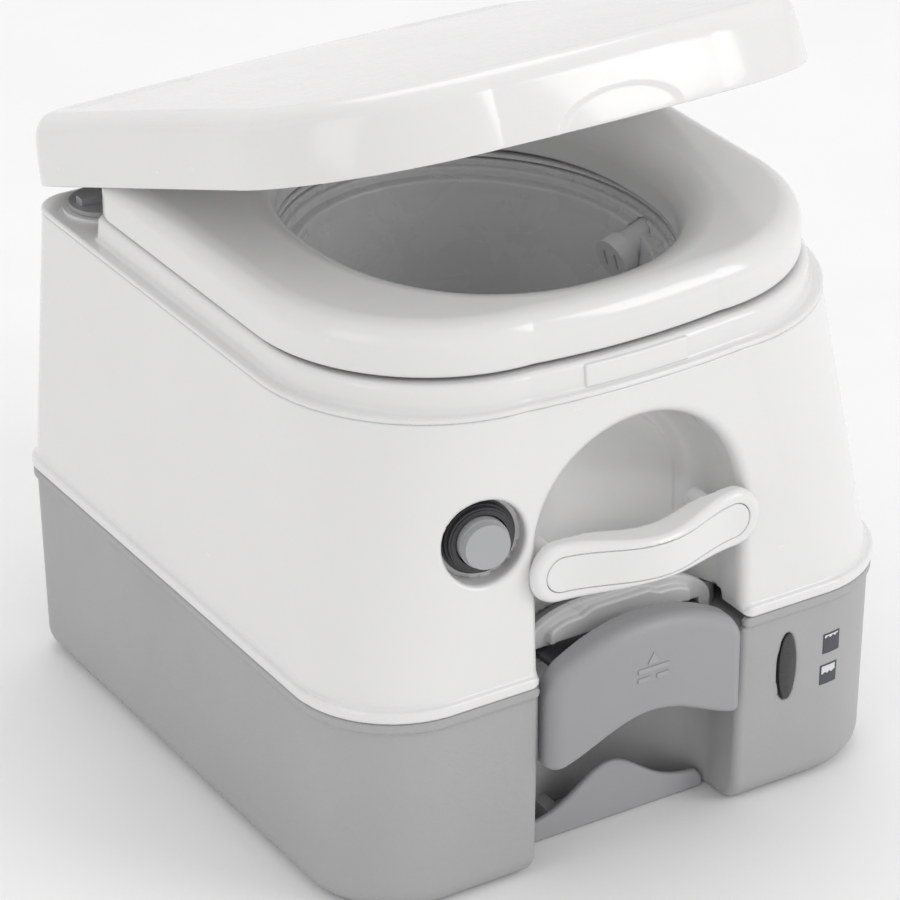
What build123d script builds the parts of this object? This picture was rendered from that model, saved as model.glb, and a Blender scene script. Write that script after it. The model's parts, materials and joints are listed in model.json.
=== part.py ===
from build123d import *
import math
import os

os.makedirs("parts", exist_ok=True)

# Portable camp toilet. Millimetres, +Z up, front faces -Y, origin at the bottom centre.

# overall
TANK_H = 110.0          # top of the waste tank's rim
STEP_Z = 254.4          # underside of the deck moulding
COLLAR_Z = 270.5        # top of the collar that the seat rests over
FLANGE = (165.0, -171.0, 171.0, 55.5, 18.0)
WALL = 3.0

# seat and lid hinge
HINGE_Y = 172.0
HINGE_Z = 276.0
LID_REST = 20.7         # lid angle from flat as it stands
LID_CLOSED = 2.1        # lid angle from flat when shut

# arched recess and slide valve
RECESS_X = 59.0
ARCH_Z = 177.0
BLADE_Z = 111.0
BORE_Y = -4.0
BORE_R = 44.0

# flush pump
PUMP_X = -87.0
PUMP_Z = 193.0
PUMP_TURN = 10.0


def plan(z, size, bow=0.0):
    """Rounded outline: half width, front, rear, front radius, rear radius."""
    hw, yf, yr, rf, rr = size
    c = math.sqrt(0.5)
    with BuildSketch(Plane.XY.offset(z), mode=Mode.PRIVATE) as sk:
        with BuildLine():
            Line((-hw, yr - rr), (-hw, yf + rf))
            ThreePointArc((-hw, yf + rf), (-hw + rf * (1 - c), yf + rf * (1 - c)), (-hw + rf, yf))
            if bow > 0:
                ThreePointArc((-hw + rf, yf), (0, yf - bow), (hw - rf, yf))
            else:
                Line((-hw + rf, yf), (hw - rf, yf))
            ThreePointArc((hw - rf, yf), (hw - rf * (1 - c), yf + rf * (1 - c)), (hw, yf + rf))
            Line((hw, yf + rf), (hw, yr - rr))
            ThreePointArc((hw, yr - rr), (hw - rr * (1 - c), yr - rr * (1 - c)), (hw - rr, yr))
            Line((hw - rr, yr), (-hw + rr, yr))
            ThreePointArc((-hw + rr, yr), (-hw + rr * (1 - c), yr - rr * (1 - c)), (-hw, yr - rr))
        make_face()
    return sk.sketch.face()


def grow(size, d):
    """The same outline moved out by d."""
    hw, yf, yr, rf, rr = size
    return (hw + d, yf - d, yr + d, max(rf + d, 2), max(rr + d, 2))


def block(z0, size0, z1, size1, bow0=0.0, bow1=0.0):
    """Solid between two outlines."""
    return Solid.make_loft(
        [plan(z0, size0, bow0).outer_wire(), plan(z1, size1, bow1).outer_wire()], ruled=True
    )


def recess_plan(z0, height, d):
    """Front recess cutter: flat sides and a bowed back wall, moved out by d."""
    x = RECESS_X + d
    with BuildSketch(Plane.XY.offset(z0), mode=Mode.PRIVATE) as sk:
        with BuildLine():
            Line((-x, -230), (-x, -136 + d))
            ThreePointArc((-x, -136 + d), (0, -116 + d), (x, -136 + d))
            Line((x, -136 + d), (x, -230))
            Line((x, -230), (-x, -230))
        make_face()
    return Solid.extrude(sk.sketch.face(), Vector(0, 0, height))


def oval(z, a, b, y0, n=2.0):
    """Superellipse face with half axes a and b."""
    pts = []
    for k in range(48):
        t = 2 * math.pi * k / 48
        c = math.cos(t)
        s = math.sin(t)
        px = a * math.copysign(abs(c) ** (2 / n), c)
        py = b * math.copysign(abs(s) ** (2 / n), s)
        pts.append((px, y0 + py))
    with BuildSketch(Plane.XY.offset(z), mode=Mode.PRIVATE) as sk:
        with BuildLine():
            Spline(*pts, periodic=True)
        make_face()
    return sk.sketch.face()


def ellipse_face(z, a, b, y0):
    """Ellipse with half axes a and b."""
    with BuildSketch(Plane.XY.offset(z), mode=Mode.PRIVATE) as sk:
        with Locations((0, y0)):
            Ellipse(a, b)
    return sk.sketch.face()


def save(part, name):
    part.label = name
    export_step(part, "parts/" + name + ".step")


def disc(plane, r, length, x=0.0, y=0.0):
    """Round bar that starts on the plane."""
    with BuildSketch(plane, mode=Mode.PRIVATE) as sk:
        with Locations((x, y)):
            Circle(r)
    return Solid.extrude(sk.sketch.face(), plane.z_dir * length)


def stadium(y0, z, length, height, depth):
    """Flat-ended stadium bar running forward from y0."""
    with BuildSketch(Plane.XZ.offset(-y0), mode=Mode.PRIVATE) as sk:
        with Locations((0, z)):
            SlotOverall(length, height)
    return Solid.extrude(sk.sketch.face(), Vector(0, -depth, 0))


# ---------------------------------------------------------------- waste tank
T_BOT = (161.0, -167.0, 167.0, 51.0, 16.0)
T_TOP = (162.6, -168.6, 168.6, 53.0, 16.0)
T_RIM = (164.4, -170.4, 170.4, 55.0, 17.4)
NECK_X = -84.0
NECK_Z = 58.0

room = block(WALL, grow(T_BOT, -9), 102, grow(T_TOP, -WALL)) - recess_plan(-1, 120, WALL)

with BuildPart() as tank:
    add(block(0, grow(T_BOT, -7), 7, T_BOT))
    add(block(7, T_BOT, 104.5, T_TOP))
    add(block(104.5, T_RIM, TANK_H, T_RIM))
    add(recess_plan(-1, 120, 0), mode=Mode.SUBTRACT)
    add(room, mode=Mode.SUBTRACT)
    # shallow well in the top for the valve body
    add(block(105, grow(T_RIM, -2.6), 112, grow(T_RIM, -2.6)), mode=Mode.SUBTRACT)
    # valve opening, seen from the top
    with BuildSketch(Plane.XY.offset(90)):
        with Locations((0, BORE_Y)):
            Circle(BORE_R)
    extrude(amount=30, mode=Mode.SUBTRACT)
    # drain neck hole in the rear wall
    with BuildSketch(Plane.XZ.offset(-150)):
        with Locations((NECK_X, NECK_Z)):
            Circle(22)
    extrude(amount=-30, mode=Mode.SUBTRACT)
    # window pocket in the front wall
    with BuildSketch(Plane.XZ.offset(160)):
        with Locations((88, 74)):
            Ellipse(6, 20)
    extrude(amount=20, mode=Mode.SUBTRACT)
save(tank.part, "waste_tank")

# drain neck and its cap, on the rear wall
with BuildPart() as neck:
    with BuildSketch(Plane.XZ.offset(-160)):
        with Locations((NECK_X, NECK_Z)):
            Circle(22)
            Circle(18.5, mode=Mode.SUBTRACT)
    extrude(amount=-28)
    with BuildSketch(Plane.XZ.offset(-169)):
        with Locations((NECK_X, NECK_Z)):
            Circle(29)
            Circle(22, mode=Mode.SUBTRACT)
    extrude(amount=-3)
save(neck.part, "drain_neck")

with BuildPart() as drain_cap:
    with BuildSketch(Plane.XZ.offset(-176)):
        with Locations((NECK_X, NECK_Z)):
            Circle(28)
            Circle(23, mode=Mode.SUBTRACT)
    extrude(amount=-14)
    with BuildSketch(Plane.XZ.offset(-190)):
        with Locations((NECK_X, NECK_Z)):
            Circle(28)
    extrude(amount=-4)
    with BuildSketch(Plane.XZ.offset(-194)):
        with Locations((NECK_X, NECK_Z)):
            Rectangle(44, 9)
    extrude(amount=-7)
    with BuildSketch(Plane.XZ.offset(-176)):
        with Locations((NECK_X, NECK_Z)):
            with PolarLocations(28.2, 24):
                Circle(1.6)
    extrude(amount=-16, mode=Mode.SUBTRACT)
save(drain_cap.part, "drain_cap")

with BuildPart() as drain_seal:
    with BuildSketch(Plane.XZ.offset(-188.3)):
        with Locations((NECK_X, NECK_Z)):
            Circle(22.8)
            Circle(17, mode=Mode.SUBTRACT)
    extrude(amount=-1.7)
save(drain_seal.part, "drain_seal")

# level window with its float beads
with BuildPart() as window:
    with BuildSketch(Plane.XZ.offset(167.6)):
        with Locations((88, 74)):
            Ellipse(5.3, 19)
    extrude(amount=2.2)
    with BuildSketch(Plane.XZ.offset(167.0)):
        with Locations((88, 74)):
            Ellipse(3.5, 17)
    extrude(amount=1.8, mode=Mode.SUBTRACT)
save(window.part, "level_lens")

with BuildPart() as gauge:
    with BuildSketch(Plane.XZ.offset(163.4)):
        with Locations((88, 74)):
            Ellipse(5.5, 19.3)
    extrude(amount=4.2)
    with BuildSketch(Plane.XZ.offset(164.6)):
        with Locations((88, 74)):
            Ellipse(3.3, 17.5)
    extrude(amount=4, mode=Mode.SUBTRACT)
save(gauge.part, "level_backing")

with BuildPart() as beads:
    with Locations(*[(88, -166.6, 74 + (k - 2) * 6.2) for k in range(5)]):
        Sphere(1.9)
save(beads.part, "level_beads")

# valve body on top of the tank
with BuildPart() as housing:
    with BuildSketch(Plane.XY.offset(105)):
        with Locations((0, -34)):
            RectangleRounded(130, 212, 6)
    extrude(amount=13)
    add(recess_plan(104, 20, -6), mode=Mode.SUBTRACT)
    with BuildSketch(Plane.XY.offset(105)):
        with Locations((0, BORE_Y)):
            Circle(BORE_R)
    extrude(amount=13, mode=Mode.SUBTRACT)
    with BuildSketch(Plane.XY.offset(BLADE_Z - 0.4)):
        with Locations((0, -51)):
            Rectangle(96.4, 200)
    extrude(amount=3.4, mode=Mode.SUBTRACT)
save(housing.part, "valve_body")

with BuildPart() as inlet_seal:
    with BuildSketch(Plane.XY.offset(118)):
        with Locations((0, BORE_Y)):
            Circle(BORE_R + 8)
            Circle(BORE_R, mode=Mode.SUBTRACT)
    extrude(amount=2.6)
save(inlet_seal.part, "inlet_seal")

# blade and its arched handle
with BuildPart() as blade:
    with BuildSketch(Plane.XY.offset(BLADE_Z)):
        with Locations((0, -57.5)):
            Rectangle(94, 209)
    extrude(amount=2.6)
    fillet(blade.edges().filter_by(Axis.Z).sort_by(Axis.Y)[-2:], 12)
save(blade.part, "valve_blade")


def arch_band(x, low_end, low_mid, top_end, top_mid, y0, depth):
    """Curved band, arched upward in the middle, running forward from y0."""
    with BuildSketch(Plane.XZ.offset(-y0), mode=Mode.PRIVATE) as sk:
        with BuildLine():
            ThreePointArc((-x, low_end), (0, low_mid), (x, low_end))
            Line((x, low_end), (x, top_end))
            ThreePointArc((x, top_end), (0, top_mid), (-x, top_end))
            Line((-x, top_end), (-x, low_end))
        make_face()
    return Solid.extrude(sk.sketch.face(), Vector(0, -depth, 0))


with BuildPart() as paddle:
    add(arch_band(56.5, 62, 81, 112, 131.5, -162, 16))
    fillet(paddle.edges().filter_by(Axis.Y).sort_by(Axis.Z)[:2], 3.5)
    fillet(paddle.edges().filter_by(Axis.Y).sort_by(Axis.Z)[-2:], 9)
    fillet(paddle.faces().sort_by(Axis.Y)[0].edges(), 3)
    # hollow back for the fingers
    add(arch_band(53, 66, 85, 106, 125.5, -161.9, 11.5), mode=Mode.SUBTRACT)
    # web that holds the blade
    with BuildSketch(Plane.XZ.offset(162)):
        with Locations((0, 112.3)):
            Rectangle(90, 5.6)
    extrude(amount=12)
    with BuildSketch(Plane.XZ.offset(161)):
        with Locations((0, 112.3)):
            Rectangle(94, 2.6)
    extrude(amount=2, mode=Mode.SUBTRACT)
save(paddle.part, "valve_handle")

# raised picture on the handle: a simple shutter sign
with BuildPart() as sign:
    with BuildSketch(Plane.XZ.offset(178)):
        with Locations((0, 106)):
            Rectangle(18, 2.4)
        with Locations((-5.5, 101), (5.5, 101)):
            Rectangle(7, 2.4)
        with Locations((0, 111)):
            Triangle(a=7, b=7, c=7)
    extrude(amount=0.5)
save(sign.part, "handle_sign")

# stepped guide plate behind the handle
with BuildPart() as guide:
    with BuildSketch(Plane.XZ.offset(141)):
        with BuildLine():
            Line((-56, 106), (56, 106))
            Line((56, 106), (56, 118))
            ThreePointArc((56, 118), (0, 134), (-56, 118))
            Line((-56, 118), (-56, 106))
        make_face()
    extrude(amount=5)
    with BuildSketch(Plane.XZ.offset(146)):
        with BuildLine():
            Polyline((-41, 117.8), (41, 117.8), (41, 124), (24, 127.8), (16, 131), (-16, 131), (-24, 127.8),
                     (-41, 124), (-41, 117.8))
        make_face()
    extrude(amount=4)
    with BuildSketch(Plane.XZ.offset(130)):
        with Locations((0, 112.2)):
            Rectangle(97, 5.4)
        with Locations((0, 113.7)):
            Rectangle(76, 8.2)
    extrude(amount=30, mode=Mode.SUBTRACT)
save(guide.part, "valve_guide")

# waved grip plate at the foot of the recess
webs = Solid.extrude(
    Face.make_rect(8, 10, Plane((-28, -110, 6), x_dir=(1, 0, 0), z_dir=(0, -1, 0))), Vector(0, -29, 0)
)
webs = webs + webs.moved(Location((56, 0, 0)))
webs = webs & recess_plan(-1, 40, 0)

with BuildPart() as grip:
    with BuildSketch(Plane.XZ.offset(139)):
        with BuildLine():
            Line((-57, 0.4), (57, 0.4))
            Line((57, 0.4), (57, 6))
            Spline((57, 6), (52, 10.5), (38, 13.5), (18, 25), (0, 33.5), (-18, 25), (-38, 13.5), (-52, 10.5),
                   (-57, 6))
            Line((-57, 6), (-57, 0.4))
        make_face()
    extrude(amount=4)
    add(webs)
save(grip.part, "foot_plate")

# two level pictures beside the window
with BuildPart() as marks:
    with BuildSketch(Plane.XZ.offset(130)):
        with Locations((115.5, 79.5), (114.5, 61.5)):
            RectangleRounded(11, 12, 1.5)
    extrude(amount=60)
    add(block(7, grow(T_BOT, 0.35), 104.5, grow(T_TOP, 0.35)), mode=Mode.INTERSECT)
    add(block(7, T_BOT, 104.5, T_TOP), mode=Mode.SUBTRACT)
save(marks.part, "level_pictures")

# ---------------------------------------------------------------- fresh water tank
U_LOW = (162.2, -168.2, 169.6, 56.0, 17.0)
U_TOP = (153.4, -158.8, 168.0, 92.0, 17.0)


def front_y(z):
    """Front face of the upper tank at height z."""
    k = (z - 116.5) / (STEP_Z - 116.5)
    return U_LOW[1] + (U_TOP[1] - U_LOW[1]) * k - 4.0 * k


PUMP_Y = front_y(PUMP_Z) + 3.2
PTURN = math.radians(PUMP_TURN)
PUMP_DIR = (-math.sin(PTURN) * 0.998, -math.cos(PTURN) * 0.998, 0.06)
PUMP = Plane((PUMP_X, PUMP_Y, PUMP_Z), x_dir=(math.cos(PTURN), -math.sin(PTURN), 0), z_dir=PUMP_DIR)


def arch(y_from, depth, r, z0):
    """Arched cutter through the front."""
    with BuildSketch(Plane.XZ.offset(-y_from), mode=Mode.PRIVATE) as sk:
        with BuildLine():
            Line((-r, z0), (r, z0))
            Line((r, z0), (r, ARCH_Z))
            ThreePointArc((r, ARCH_Z), (0, ARCH_Z + r), (-r, ARCH_Z))
            Line((-r, ARCH_Z), (-r, z0))
        make_face()
    return Solid.extrude(sk.sketch.face(), Vector(0, -depth, 0))


nook = arch(-100, 130, RECESS_X, 90) & recess_plan(90, 160, 0)
nook_out = arch(-100, 130, RECESS_X + WALL, 90) & recess_plan(90, 160, WALL)
water = block(122.5, grow(U_LOW, -WALL), STEP_Z + 1, grow(U_TOP, -WALL), 0.3, 4.0)
water = water - nook_out
water = water - disc(Plane.XY.offset(120), BORE_R + 10, 9, 0, BORE_Y)
water = water - disc(PUMP.offset(-15.5), 25, 30)


with BuildPart() as shell:
    add(block(110.4, FLANGE, 116.5, FLANGE))
    add(block(116.5, U_LOW, STEP_Z, U_TOP, 0.3, 4.0))
    add(nook, mode=Mode.SUBTRACT)
    add(water, mode=Mode.SUBTRACT)
    # underside hollow that drops over the tank rim
    with BuildSketch(Plane.XY.offset(105)):
        Rectangle(290, 300)
    extrude(amount=13.4, mode=Mode.SUBTRACT)
    with BuildSketch(Plane.XY.offset(105)):
        with Locations((0, -35)):
            Rectangle(134, 220)
    extrude(amount=13.4, mode=Mode.SUBTRACT)
    with BuildSketch(Plane.XY.offset(105)):
        with Locations((0, BORE_Y)):
            Circle(BORE_R + 9)
    extrude(amount=16, mode=Mode.SUBTRACT)
    with BuildSketch(Plane.XY.offset(105)):
        with Locations((0, BORE_Y)):
            Circle(BORE_R + 4.6)
    extrude(amount=40, mode=Mode.SUBTRACT)
    # pump pocket
    with BuildSketch(PUMP.offset(-12)):
        Circle(21.5)
    extrude(amount=30, mode=Mode.SUBTRACT)
    with BuildSketch(PUMP.offset(-30)):
        Circle(17.2)
    extrude(amount=30, mode=Mode.SUBTRACT)
save(shell.part, "fresh_tank")

# deck moulding with its collar, and the bowl that hangs in it
D_LIP = (153.7, -159.2, 168.0, 92.5, 17.0)
D_COL = (147.4, -155.0, 112.0, 90.2, 8.0)
BOWL = ((268.0, 97.0, 108.0, -16.0), (262.0, 90.0, 104.0, -17.0), (245.0, 87.0, 93.0, -12.0),
        (232.0, 84.0, 90.0, -12.0), (196.0, 74.0, 80.0, -10.0), (156.0, 58.0, 60.0, -7.0),
        (130.0, 45.0, 45.01, BORE_Y))


def bowl_solid(d, z_top, z_low):
    """Inside of the bowl as one smooth stack of ellipses, grown by d."""
    rows = [(z_top,) + BOWL[0][1:]] + list(BOWL[1:])
    wires = [ellipse_face(z_low, 45.0 + d, 45.01 + d, BORE_Y).outer_wire()]
    for z, half_x, half_y, y0 in reversed(rows):
        wires.append(ellipse_face(z, half_x + d, half_y + d, y0).outer_wire())
    return Solid.make_loft(wires)


CAP_X = -126.0
CAP_Y = 141.0
NOZ = Plane((79.0, -30.5, 250.0), x_dir=(0, 1, 0), z_dir=(-0.955, -0.12, -0.27))

bowl_out = bowl_solid(3.0, COLLAR_Z - 1.5, 120.8)
bowl_in = bowl_solid(0.0, COLLAR_Z + 1, 120.0)

with BuildPart() as deck:
    add(block(STEP_Z, D_LIP, STEP_Z + 3, D_LIP, 4.0, 4.0))
    add(block(STEP_Z + 3, D_COL, COLLAR_Z, grow(D_COL, -1.2), 4.0, 4.0))
    add(block(STEP_Z - 6, grow(U_TOP, -WALL - 0.2), STEP_Z, grow(U_TOP, -WALL - 0.2), 4.0, 4.0))
    add(block(STEP_Z - 7, grow(U_TOP, -WALL - 2.7), STEP_Z, grow(U_TOP, -WALL - 2.7), 4.0, 4.0),
        mode=Mode.SUBTRACT)
    add(block(STEP_Z - 1, grow(D_COL, -4), COLLAR_Z - 3, grow(D_COL, -5), 4.0, 4.0), mode=Mode.SUBTRACT)
    add(bowl_out, mode=Mode.SUBTRACT)
    add(bowl_in, mode=Mode.SUBTRACT)
    # hole for the filler neck
    with BuildSketch(Plane.XY.offset(240)):
        with Locations((CAP_X, CAP_Y)):
            Circle(15.1)
    extrude(amount=30, mode=Mode.SUBTRACT)
    with BuildSketch(NOZ.offset(-24)):
        Circle(9.3)
    extrude(amount=24, mode=Mode.SUBTRACT)
save(deck.part, "deck")

with BuildPart() as bowl:
    add(bowl_out)
    add(bowl_in, mode=Mode.SUBTRACT)
    with BuildSketch(NOZ.offset(-24)):
        Circle(9.3)
    extrude(amount=24, mode=Mode.SUBTRACT)
    with BuildSketch(NOZ.offset(-0.1)):
        Circle(11.3)
    extrude(amount=20, mode=Mode.SUBTRACT)
save(bowl.part, "bowl")

# rear posts that carry the hinge pins
POST_Z = STEP_Z + 3

with BuildPart() as hinge_posts:
    for side in (-1, 1):
        with BuildSketch(Plane.YZ.offset(side * 96 if side > 0 else side * 104)):
            with BuildLine():
                Line((140, POST_Z), (166.4, POST_Z))
                Line((166.4, POST_Z), (166.4, 262))
                Line((166.4, 262), (HINGE_Y + 4.6, HINGE_Z - 3.6))
                ThreePointArc((HINGE_Y + 4.6, HINGE_Z - 3.6), (HINGE_Y + 2, HINGE_Z + 5.5),
                              (HINGE_Y - 4.2, HINGE_Z + 4.2))
                Line((HINGE_Y - 4.2, HINGE_Z + 4.2), (140, POST_Z))
            make_face()
        extrude(amount=8)
    with Locations(*[Plane((s * 90, HINGE_Y, HINGE_Z), z_dir=(s, 0, 0)) for s in (-1, 1)]):
        Cylinder(2.5, 20, align=(Align.CENTER, Align.CENTER, Align.MIN), mode=Mode.SUBTRACT)
save(hinge_posts.part, "hinge_posts")

# low panel on the collar's front
front_tab = block(258, grow(D_COL, 1.5), 269.5, grow(D_COL, 0.5), 4.0, 4.0)
front_tab = front_tab - block(STEP_Z + 3, D_COL, COLLAR_Z, grow(D_COL, -1.2), 4.0, 4.0)
front_tab = front_tab & disc(Plane((0, -159, 250)), 29, 30)
save(front_tab, "front_tab")

# carrying handle, cover strip and screws
HZ = 170.0
HANDLE_H = 31.0
PEG_X = 46.0
COVER_T = 2.0
front_skin = block(116.5, U_LOW, STEP_Z, U_TOP, 0.3, 4.0)


def bar_front(x):
    """Front of the bar in plan: flat ears and a middle that swells forward."""
    return -172.5 - 13.5 * (0.5 + 0.5 * math.cos(math.pi * min(abs(x) / 54, 1)))


def bar_back(x):
    return bar_front(x) + 19 - 7 * (x / 52) ** 2


def bar_slice(front_shift, back_line, half, z0, height):
    """Upright slab between the shifted front line and a back line."""
    xs = [half * k / 12 for k in range(-12, 13)]
    with BuildSketch(Plane.XY.offset(z0), mode=Mode.PRIVATE) as sk:
        with BuildLine():
            Spline(*[(x, bar_front(x) - front_shift) for x in xs])
            Line((half, bar_front(half) - front_shift), (half, back_line(half)))
            Spline(*[(x, back_line(x)) for x in reversed(xs)])
            Line((-half, back_line(half)), (-half, bar_front(half) - front_shift))
        make_face()
    return Solid.extrude(sk.sketch.face(), Vector(0, 0, height))


cover = bar_slice(0, lambda x: bar_front(x) + COVER_T, 60, HZ - 12, 24) & stadium(-150, HZ, 117, 18.4, 50)
cover_seat = bar_slice(9, lambda x: bar_front(x) + COVER_T + 0.2, 61, HZ - 12, 24)
cover_seat = cover_seat & stadium(-150, HZ, 117.6, 19, 50)

with BuildPart() as bar:
    add(bar_slice(0, bar_back, 66, HZ - HANDLE_H / 2, HANDLE_H))
    add(stadium(-150, HZ, 132, HANDLE_H, 60), mode=Mode.INTERSECT)
    add(front_skin, mode=Mode.SUBTRACT)
    # seat for the cover strip and its screws
    add(cover_seat, mode=Mode.SUBTRACT)
    with Locations(*[Plane((x, -155, HZ), z_dir=(0, -1, 0)) for x in (-PEG_X, PEG_X)]):
        Cylinder(2.2, 25, align=(Align.CENTER, Align.CENTER, Align.MIN), mode=Mode.SUBTRACT)
    with Locations(*[Plane((x, -169.0, HZ), z_dir=(0, -1, 0)) for x in (-PEG_X, PEG_X)]):
        Cylinder(4.4, 15, align=(Align.CENTER, Align.CENTER, Align.MIN), mode=Mode.SUBTRACT)
save(bar.part, "carry_handle")

# pegs on the back of the handle's ears, which take the screws
pegs = disc(Plane.XZ.offset(168), 5.5, -26, -PEG_X, HZ) + disc(Plane.XZ.offset(168), 5.5, -26, PEG_X, HZ)
pegs = (pegs & nook) - bar.part
pegs = pegs - disc(Plane.XZ.offset(180), 2.2, -32, -PEG_X, HZ) - disc(Plane.XZ.offset(180), 2.2, -32, PEG_X, HZ)
save(pegs, "handle_posts")

with BuildPart() as handle_screws:
    with Locations(*[Plane((x, -169.1, HZ), z_dir=(0, 1, 0)) for x in (-PEG_X, PEG_X)]):
        Cylinder(2.15, 20, align=(Align.CENTER, Align.CENTER, Align.MIN))
    with Locations(*[Plane((x, -169.1, HZ), z_dir=(0, -1, 0)) for x in (-PEG_X, PEG_X)]):
        Cylinder(4.2, 1.4, align=(Align.CENTER, Align.CENTER, Align.MIN))
save(handle_screws.part, "handle_screws")
save(cover, "handle_cover")

# filler neck and cap on the rear shelf
with BuildPart() as filler:
    with BuildSketch(Plane.XY.offset(STEP_Z - 14)):
        with Locations((CAP_X, CAP_Y)):
            Circle(15)
            Circle(12.6, mode=Mode.SUBTRACT)
    extrude(amount=17.4)
    with BuildSketch(Plane.XY.offset(STEP_Z + 3)):
        with Locations((CAP_X, CAP_Y)):
            Circle(20)
            Circle(12.6, mode=Mode.SUBTRACT)
    extrude(amount=1.6)
save(filler.part, "filler_neck")

with BuildPart() as filler_cap:
    with BuildSketch(Plane.XY.offset(STEP_Z - 8)):
        with Locations((CAP_X, CAP_Y)):
            Circle(12.0)
    extrude(amount=13)
    with BuildSketch(Plane.XY.offset(STEP_Z + 5)):
        with Locations((CAP_X, CAP_Y)):
            Circle(17)
    extrude(amount=2.4)
    with BuildSketch(Plane.XY.offset(STEP_Z + 7.4)):
        with Locations((CAP_X, CAP_Y)):
            Rectangle(26, 6)
    extrude(amount=4)
save(filler_cap.part, "filler_cap")

# flush nozzle and its feed pipe
with BuildPart() as nozzle:
    with BuildSketch(NOZ.offset(-20)):
        Circle(9)
    extrude(amount=20)
    with BuildSketch(NOZ):
        Circle(11)
    extrude(amount=9)
    with BuildSketch(NOZ.offset(6)):
        with Locations((-4, 0), (4, 0)):
            Rectangle(1.6, 9)
    extrude(amount=5, mode=Mode.SUBTRACT)
save(nozzle.part, "flush_nozzle")

# pump: barrel, ribbed ring, knob with its piston, and spring
with BuildPart() as barrel:
    with BuildSketch(PUMP.offset(-72)):
        Circle(16)
    extrude(amount=60)
    with BuildSketch(PUMP.offset(-69)):
        Circle(14)
    extrude(amount=60, mode=Mode.SUBTRACT)
    with BuildSketch(PUMP.offset(-12)):
        Circle(21)
        Circle(14, mode=Mode.SUBTRACT)
    extrude(amount=1.5)
save(barrel.part, "pump_barrel")

with BuildPart() as ribs:
    for k in range(3):
        with BuildSketch(PUMP.offset(-10.5 + 2.4 * k)):
            Circle(19 - 1.2 * k)
            Circle(13.4, mode=Mode.SUBTRACT)
        extrude(amount=1.6)
    with BuildSketch(PUMP.offset(-10.5)):
        Circle(15.6)
        Circle(13.4, mode=Mode.SUBTRACT)
    extrude(amount=7)
save(ribs.part, "pump_ring")

with BuildPart() as knob:
    with BuildSketch(PUMP.offset(-24)):
        Circle(12.6)
    extrude(amount=24)
    with BuildSketch(PUMP):
        Circle(11.4)
    extrude(amount=4)
    with BuildSketch(PUMP.offset(-46)):
        Circle(3)
    extrude(amount=30)
    with BuildSketch(PUMP.offset(-49)):
        Circle(13.4)
    extrude(amount=4)
save(knob.part, "pump_knob")

with BuildPart() as coil:
    with BuildLine() as path:
        Helix(pitch=4.4, height=18.0, radius=8.0, center=PUMP.offset(-68.2).origin, direction=PUMP.z_dir)
    with BuildSketch(Plane(path.line @ 0, z_dir=path.line % 0)):
        Circle(0.6)
    sweep(path=path.line)
save(coil.part, "pump_spring")

# ---------------------------------------------------------------- seat
S_OUT = (147.5, -150.0, 118.0, 95.0, 26.0)
SEAT_Z0 = 272.6
SEAT_Z1 = 298.0
SEAT_ROOF = 291.0       # top of the hollow underside

seat_room = block(SEAT_Z0 - 1, grow(S_OUT, -3.2), 285, grow(S_OUT, -3.2), 4.0, 4.0)
seat_room = seat_room + block(285, grow(S_OUT, -3.2), SEAT_ROOF, grow(S_OUT, -9), 4.0, 4.0)
seat_room = seat_room - Solid.make_loft(
    [oval(SEAT_Z0 - 2, 95.2, 107.2, -16, 2.2).outer_wire(), oval(SEAT_ROOF + 1, 99, 111, -16, 2.2).outer_wire()],
    ruled=True,
)

with BuildPart() as seat:
    add(block(SEAT_Z0 + 2, S_OUT, 286, S_OUT, 4.0, 4.0))
    add(block(SEAT_Z0, grow(S_OUT, -2), SEAT_Z0 + 2, S_OUT, 4.0, 4.0))
    add(block(286, S_OUT, 294, grow(S_OUT, -5), 4.0, 4.0))
    add(block(294, grow(S_OUT, -5), SEAT_Z1, grow(S_OUT, -16), 4.0, 4.0))
    hole = Solid.make_loft(
        [oval(SEAT_Z0 - 1, 92, 104, -16, 2.2).outer_wire(), oval(290, 94, 106, -16, 2.2).outer_wire()],
        ruled=True,
    )
    hole2 = Solid.make_loft(
        [oval(290, 94, 106, -16, 2.2).outer_wire(), oval(SEAT_Z1 + 0.5, 105, 116, -14, 2.2).outer_wire()],
        ruled=True,
    )
    add(hole, mode=Mode.SUBTRACT)
    add(hole2, mode=Mode.SUBTRACT)
    add(seat_room, mode=Mode.SUBTRACT)
    # arms back to the hinge
    for x0 in (-94.5, 86.5):
        with BuildSketch(Plane.YZ.offset(x0)):
            with BuildLine():
                Line((100, 275), (HINGE_Y - 2, HINGE_Z - 5.66))
                ThreePointArc((HINGE_Y - 2, HINGE_Z - 5.66), (HINGE_Y + 6, HINGE_Z),
                              (HINGE_Y, HINGE_Z + 6))
                Line((HINGE_Y, HINGE_Z + 6), (116, 290))
                Line((116, 290), (100, 290))
                Line((100, 290), (100, 275))
            make_face()
        extrude(amount=8)
    with Locations(*[Plane((s * 84, HINGE_Y, HINGE_Z), z_dir=(s, 0, 0)) for s in (-1, 1)]):
        Cylinder(2.55, 14, align=(Align.CENTER, Align.CENTER, Align.MIN), mode=Mode.SUBTRACT)
save(seat.part, "seat_ring")

with BuildPart() as seat_pads:
    with Locations((-122, -30, COLLAR_Z + 0.2), (122, -30, COLLAR_Z + 0.2),
                   (-118, 96, COLLAR_Z + 0.2), (118, 96, COLLAR_Z + 0.2)):
        Box(9, 22, SEAT_ROOF - COLLAR_Z - 0.2, align=(Align.CENTER, Align.CENTER, Align.MIN))
save(seat_pads.part, "seat_pads")

with BuildPart() as pins:
    with Locations(*[Plane((s * 86, HINGE_Y, HINGE_Z), z_dir=(s, 0, 0)) for s in (-1, 1)]):
        Cylinder(2.5, 29, align=(Align.CENTER, Align.CENTER, Align.MIN))
save(pins.part, "hinge_pins")

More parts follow.
